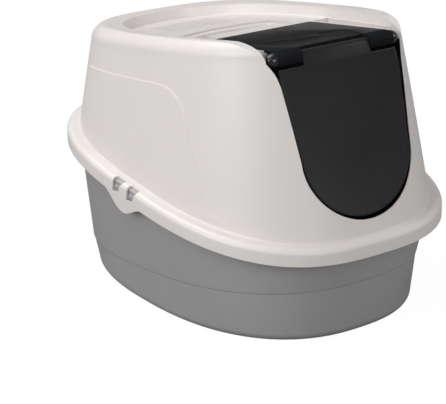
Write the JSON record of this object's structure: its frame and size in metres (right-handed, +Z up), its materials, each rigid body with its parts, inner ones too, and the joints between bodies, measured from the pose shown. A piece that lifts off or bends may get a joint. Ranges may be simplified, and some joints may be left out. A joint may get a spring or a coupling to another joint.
{
  "type": "covered litter box",
  "caption": "Covered cat litter box: deep pan, removable hood with a sloping recessed top, flip-up lid, swing flap and folding carry handle.",
  "frame": {"origin": "middle of the pan's footprint on the floor", "axes": "+Z up, -Y out of the front where the flap is, +X to the viewer's right when the front is faced"},
  "size_m": [0.457, 0.61, 0.4258],
  "materials": {
    "hood_plastic": "satin",
    "pan_plastic": "satin",
    "lid_plastic": "gloss",
    "flap_plastic": "gloss, smoked",
    "carbon_felt": "felt"
  },
  "bodies": {
    "pan": {"litter_pan": "pan_plastic"},
    "latch_left": {"latch_hooks_left": "pan_plastic"},
    "latch_right": {"latch_hooks_right": "pan_plastic"},
    "hood": {"hood": "hood_plastic", "filter_pad": "carbon_felt", "filter_tray": "hood_plastic"},
    "lid": {"top_lid": "lid_plastic", "flap_pin_left": "lid_plastic", "flap_pin_right": "lid_plastic"},
    "flap": {"flap_door": "flap_plastic"},
    "handle": {"carry_handle": "hood_plastic"}
  },
  "joints": [
    {"name": "hood_lift", "type": "slide", "parent": "pan", "child": "hood", "axis": [0, 0, 1], "range_m": [0, 0.3]},
    {"name": "lid_flip", "type": "hinge", "parent": "hood", "child": "lid", "pos_m": [0, -0.01747, 0.38443], "axis": [-1, 0, 0], "range_deg": [0, 90]},
    {"name": "flap_swing", "type": "hinge", "parent": "lid", "child": "flap", "pos_m": [0, -0.19251, 0.40097], "axis": [1, 0, 0], "range_deg": [-90, 55]},
    {"name": "handle_fold", "type": "hinge", "parent": "hood", "child": "handle", "pos_m": [0, 0.00424, 0.38075], "axis": [1, 0, 0], "range_deg": [0, 90]},
    {"name": "latch_flex_left", "type": "hinge", "parent": "pan", "child": "latch_left", "pos_m": [-0.2218, 0.003, 0.1873], "axis": [0, -0.9911, -0.1328], "range_deg": [0, 15], "stiffness_Nm_per_rad": 0.01},
    {"name": "latch_flex_right", "type": "hinge", "parent": "pan", "child": "latch_right", "pos_m": [0.2218, 0.003, 0.1873], "axis": [0, 0.9911, 0.1328], "range_deg": [0, 15], "stiffness_Nm_per_rad": 0.01}
  ]
}
